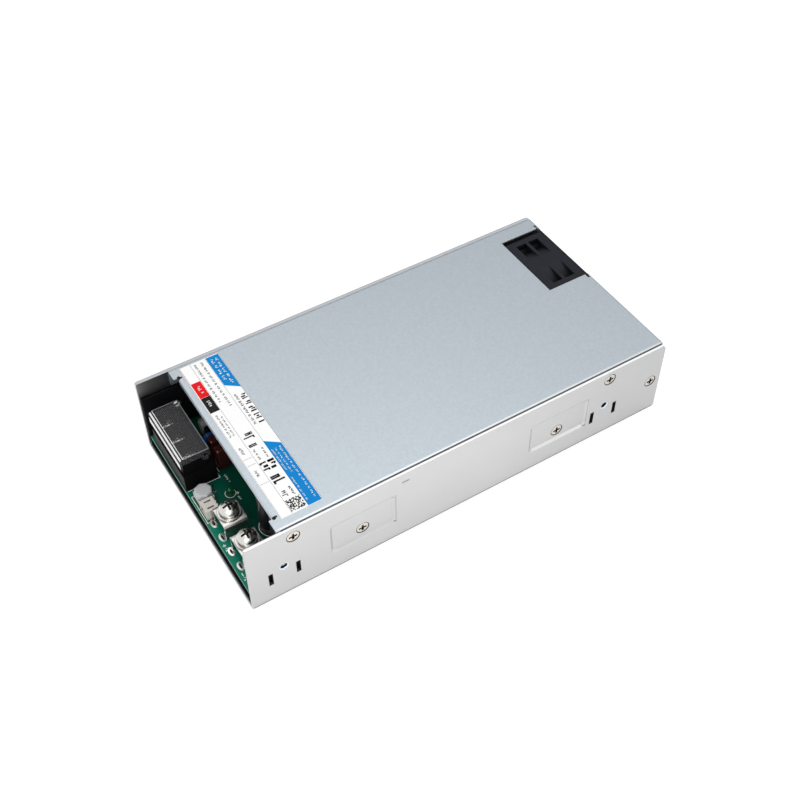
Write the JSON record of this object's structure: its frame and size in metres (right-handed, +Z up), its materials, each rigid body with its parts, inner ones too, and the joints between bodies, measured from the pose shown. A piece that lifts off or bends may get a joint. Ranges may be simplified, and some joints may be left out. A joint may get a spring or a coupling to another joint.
{
  "type": "switching power supply",
  "caption": "Enclosed power supply in a folded metal case, with a built-in fan, AC terminals under a clear hinged cover and screw terminals for the DC output.",
  "frame": {"origin": "under the middle of the case, on its bottom face", "axes": "+X along the case from the wiring end to the fan end, +Y across it towards the AC terminals, +Z up"},
  "size_m": [0.203, 0.1016, 0.0406],
  "materials": {
    "chassis_aluminium": "satin, plain sheet",
    "cover_steel": "zinc coated sheet, fine speckle",
    "label_print": "printed label with fields of colour",
    "plated_screws": "zinc plated",
    "terminal_plating": "tin plated, bright",
    "insulation_film": "black film, slight sheen",
    "green_board": "green solder mask",
    "spacer_metal": "plain",
    "black_moulding": "moulded",
    "clear_plastic": "clear moulded plastic",
    "white_plastic": "moulded",
    "grey_knob": "moulded",
    "pin_metal": "tin plated brass",
    "lamp_plastic": "green tinted",
    "fan_plastic": "moulded, fine grain",
    "axle_steel": "ground",
    "bearing_brass": "sintered",
    "motor_windings": "enamelled copper on steel",
    "fuse_glass": "white tube with metal caps",
    "blue_coating": "dipped coating",
    "dark_coating": "dipped coating",
    "red_brown_coating": "dipped coating",
    "capacitor_box": "boxed film capacitor",
    "ferrite": "matt ferrite",
    "copper_wire": "enamelled wire",
    "bobbin_plastic": "moulded",
    "coil_tape": "polyester tape",
    "can_sleeve": "black sleeve",
    "heatsink_aluminium": "extruded"
  },
  "bodies": {
    "case": {"ac_clamp_plates": "terminal_plating", "ac_contacts": "terminal_plating", "ac_terminal_block": "black_moulding", "ac_terminal_screws": "terminal_plating", "auxiliary_transformer_bobbin": "bobbin_plastic", "auxiliary_transformer_coil": "coil_tape", "auxiliary_transformer_core": "ferrite", "board_screws": "plated_screws", "board_spacers": "spacer_metal", "boost_inductor_bobbin": "bobbin_plastic", "boost_inductor_coil": "coil_tape", "boost_inductor_core": "ferrite", "bridge_rectifier": "black_moulding", "bulk_capacitors": "can_sleeve", "bypass_relay": "black_moulding", "chassis": "chassis_aluminium", "circuit_board": "green_board", "clamp_screws": "plated_screws", "control_board": "green_board", "cover_screws": "plated_screws", "dc_flat_washers": "terminal_plating", "dc_negative_terminal": "terminal_plating", "dc_positive_terminal": "terminal_plating", "dc_spring_washers": "terminal_plating", "dc_square_nuts": "terminal_plating", "dc_terminal_screws": "terminal_plating", "dipped_capacitors": "red_brown_coating", "fan_bearing": "bearing_brass", "fan_frame": "fan_plastic", "fan_motor": "motor_windings", "fan_screws": "plated_screws", "fuse": "fuse_glass", "fuse_clips": "pin_metal", "heat_spreaders": "heatsink_aluminium", "inrush_thermistor": "dark_coating", "insulation_sheet": "insulation_film", "line_capacitor": "capacitor_box", "line_choke_cores": "ferrite", "line_choke_windings": "copper_wire", "output_capacitors": "can_sleeve", "output_choke_cores": "ferrite", "output_choke_windings": "copper_wire", "output_heatsink": "heatsink_aluminium", "output_rectifiers": "black_moulding", "power_transistors": "black_moulding", "rating_label": "label_print", "safety_capacitors": "blue_coating", "signal_header": "white_plastic", "signal_pins": "pin_metal", "status_lamp": "lamp_plastic", "top_cover": "cover_steel", "transformer_bobbin": "bobbin_plastic", "transformer_coil": "coil_tape", "transformer_core": "ferrite", "trimmer_body": "white_plastic", "varistor": "blue_coating"},
    "fan_rotor": {"fan_rotor": "fan_plastic", "fan_axle": "axle_steel"},
    "ac_terminal_cover": {"ac_terminal_cover": "clear_plastic"},
    "trimmer_knob": {"trimmer_knob": "grey_knob"}
  },
  "joints": [
    {"name": "fan_spin", "type": "hinge", "parent": "case", "child": "fan_rotor", "pos_m": [0.09075, 0.0219, 0.0202], "axis": [1, 0, 0], "continuous": true},
    {"name": "ac_cover_hinge", "type": "hinge", "parent": "case", "child": "ac_terminal_cover", "pos_m": [-0.08945, 0.0273, 0.0256], "axis": [0, 1, 0], "range_deg": [0, 90]},
    {"name": "trimmer_turn", "type": "hinge", "parent": "case", "child": "trimmer_knob", "pos_m": [-0.09565, 0.004, 0.0114], "axis": [0, 0, 1], "range_deg": [-135, 135]}
  ]
}
